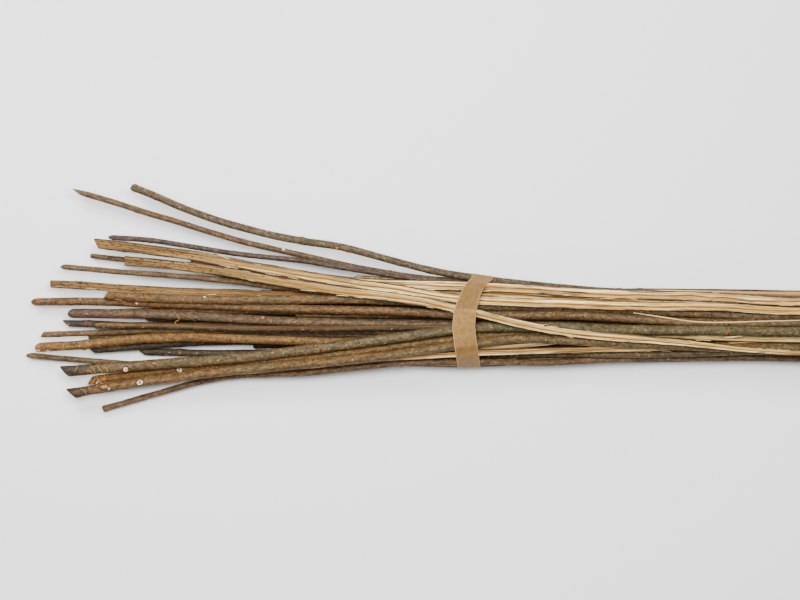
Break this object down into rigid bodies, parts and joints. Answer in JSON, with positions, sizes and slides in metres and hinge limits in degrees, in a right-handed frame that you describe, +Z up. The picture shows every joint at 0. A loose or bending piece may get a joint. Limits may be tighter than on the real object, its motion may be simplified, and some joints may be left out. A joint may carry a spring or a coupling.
{
  "type": "bundle of twigs",
  "caption": "Bundle of long cut twigs in bark, some split lengthwise, butt ends fanned out, held in the middle by a plain kraft paper band",
  "frame": {"origin": "centre of the bundle's bounding box, on the surface it lies on", "axes": "+X along the bundle, from the fanned butt ends towards the thin ends; +Y across it; +Z up from the surface"},
  "size_m": [1.263, 0.288, 0.0698],
  "materials": {
    "bark": "brown and grey-olive bark with a slight sheen",
    "split_wood": "bare split wood with long fibres, and bark on the round side",
    "paper": "smooth brown kraft paper"
  },
  "bodies": {
    "root": {"paper_band": "paper", "split_twig_covered_03": "split_wood", "split_twig_covered_06": "split_wood", "split_twig_covered_09": "split_wood", "split_twig_covered_13": "split_wood", "split_twig_crossing": "split_wood", "split_twig_far_edge": "split_wood", "split_twig_left_gold": "split_wood", "split_twig_low_middle": "split_wood", "split_twig_low_rising": "split_wood", "split_twig_middle_edge": "split_wood", "split_twig_middle_tip": "split_wood", "split_twig_top_narrow": "split_wood", "split_twig_top_pale": "split_wood", "split_twig_upper_broad": "split_wood", "whole_twig_covered_01": "bark", "whole_twig_covered_02": "bark", "whole_twig_covered_04": "bark", "whole_twig_covered_05": "bark", "whole_twig_covered_07": "bark", "whole_twig_covered_08": "bark", "whole_twig_covered_10": "bark", "whole_twig_covered_11": "bark", "whole_twig_covered_12": "bark", "whole_twig_covered_14": "bark", "whole_twig_covered_15": "bark", "whole_twig_dark_round": "bark", "whole_twig_dark_slanted": "bark", "whole_twig_left_brown": "bark", "whole_twig_left_long": "bark", "whole_twig_long_pointed": "bark", "whole_twig_low_edge": "bark", "whole_twig_low_inner": "bark", "whole_twig_middle_bright": "bark", "whole_twig_orange": "bark", "whole_twig_shaded_lower": "bark", "whole_twig_shaded_upper": "bark", "whole_twig_slim_left": "bark", "whole_twig_small_middle": "bark", "whole_twig_small_point": "bark", "whole_twig_thick_bright": "bark", "whole_twig_thick_low": "bark", "whole_twig_thick_slanted": "bark", "whole_twig_top_edge": "bark", "whole_twig_under_dark": "bark", "whole_twig_under_split": "bark", "whole_twig_upper_slim": "bark"}
  },
  "joints": []
}
